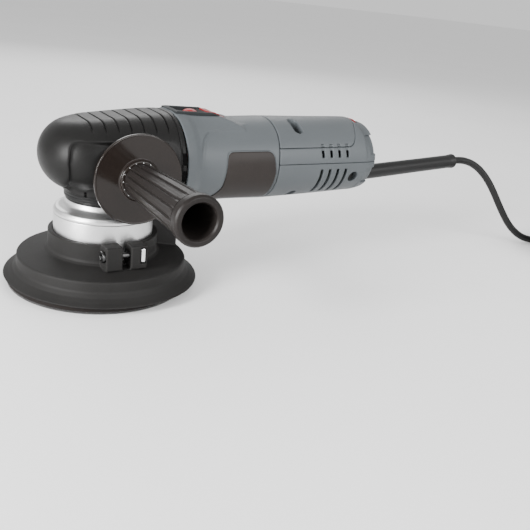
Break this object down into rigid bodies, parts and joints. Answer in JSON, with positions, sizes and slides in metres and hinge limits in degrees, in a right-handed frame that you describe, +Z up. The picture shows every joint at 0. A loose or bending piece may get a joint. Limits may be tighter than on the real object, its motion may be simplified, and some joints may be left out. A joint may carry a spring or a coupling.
{
  "type": "orbital sander",
  "caption": "Right-angle dual-action orbital sander with a round backing pad, dust shroud, side handle, slide switch, speed wheel and mains lead.",
  "frame": {"origin": "on the spindle axis, in the plane that the pad's hook face rests on", "axes": "+X runs back along the motor to the tail, -Y to the fitted side handle, +Z up the spindle"},
  "size_m": [0.6978, 0.2503, 0.1506],
  "materials": {
    "head_cover_plastic": "fine-grained satin moulding",
    "grey_plastic": "satin moulding",
    "panel_plastic": "satin",
    "gloss_black_plastic": "glossy",
    "black_plastic": "satin",
    "red_plastic": "satin",
    "shroud_rubber": "matt",
    "cast_aluminium": "bead-blasted",
    "housing_aluminium": "as cast",
    "steel": "machined",
    "bright_steel": "plated",
    "copper": "enamelled wire",
    "brass": "drawn",
    "carbon": "pressed",
    "board": "potted",
    "foam": "fine open cell",
    "hook_sheet": "moulded hooks",
    "lead_rubber": "satin jacket"
  },
  "bodies": {
    "housing": {"lower_spindle_bearing": "steel", "upper_spindle_bearing": "steel", "hub_ring": "cast_aluminium", "hub_cap": "cast_aluminium", "dust_shroud": "shroud_rubber", "clamp_bolt": "bright_steel", "clamp_nut": "bright_steel", "gear_housing": "housing_aluminium", "head_cover": "head_cover_plastic", "neck_ring": "head_cover_plastic", "handle_guard": "gloss_black_plastic", "handle_grip": "gloss_black_plastic", "handle_stud": "steel", "motor_housing": "grey_plastic", "label_panels": "panel_plastic", "rear_lower_housing": "grey_plastic", "rear_upper_housing": "grey_plastic", "top_cover": "grey_plastic", "housing_screws": "steel", "switch_bezel": "black_plastic", "switch_body": "black_plastic", "front_motor_bearing": "steel", "rear_motor_bearing": "steel", "bearing_bridge": "black_plastic", "field_stator": "steel", "field_windings": "copper", "brush_holders": "brass", "carbon_brushes": "carbon", "speed_module": "board", "dial_pin": "steel", "speed_potentiometer": "black_plastic", "strain_relief": "lead_rubber", "cord_lead": "lead_rubber", "cord_coil": "lead_rubber", "cord_tail": "lead_rubber", "plug_body": "black_plastic", "plug_blades": "bright_steel"},
    "armature": {"armature_shaft": "steel", "armature_core": "steel", "armature_windings": "copper", "commutator": "copper", "cooling_fan": "black_plastic", "bevel_pinion": "steel"},
    "spindle": {"spindle": "steel", "bevel_gear": "steel", "spindle_nut": "steel", "counterweight": "steel", "pad_bearing": "steel"},
    "pad": {"pad_arbor": "steel", "pad_stud": "steel", "pad_plate": "black_plastic", "pad_foam": "foam", "hook_face": "hook_sheet"},
    "power_slide": {"switch_slider": "red_plastic", "switch_grip": "black_plastic"},
    "speed_wheel": {"speed_dial": "red_plastic"}
  },
  "joints": [
    {"name": "armature_spin", "type": "hinge", "parent": "housing", "child": "armature", "pos_m": [0, 0, 0.1065], "axis": [1, 0, 0], "continuous": true},
    {"name": "spindle_spin", "type": "hinge", "parent": "housing", "child": "spindle", "pos_m": [0, 0, 0], "axis": [0, 0, 1], "continuous": true},
    {"name": "pad_spin", "type": "hinge", "parent": "spindle", "child": "pad", "pos_m": [-0.004, 0, 0], "axis": [0, 0, 1], "continuous": true},
    {"name": "power_slide", "type": "slide", "parent": "housing", "child": "power_slide", "axis": [-1, 0, 0], "range_m": [0, 0.006]},
    {"name": "speed_wheel_turn", "type": "hinge", "parent": "housing", "child": "speed_wheel", "pos_m": [0.2505, 0, 0.1338], "axis": [0, 1, 0], "range_deg": [0, 270]}
  ],
  "couplings": [
    {"joint": "spindle_spin", "follows": "armature_spin", "ratio": 0.33333}
  ]
}
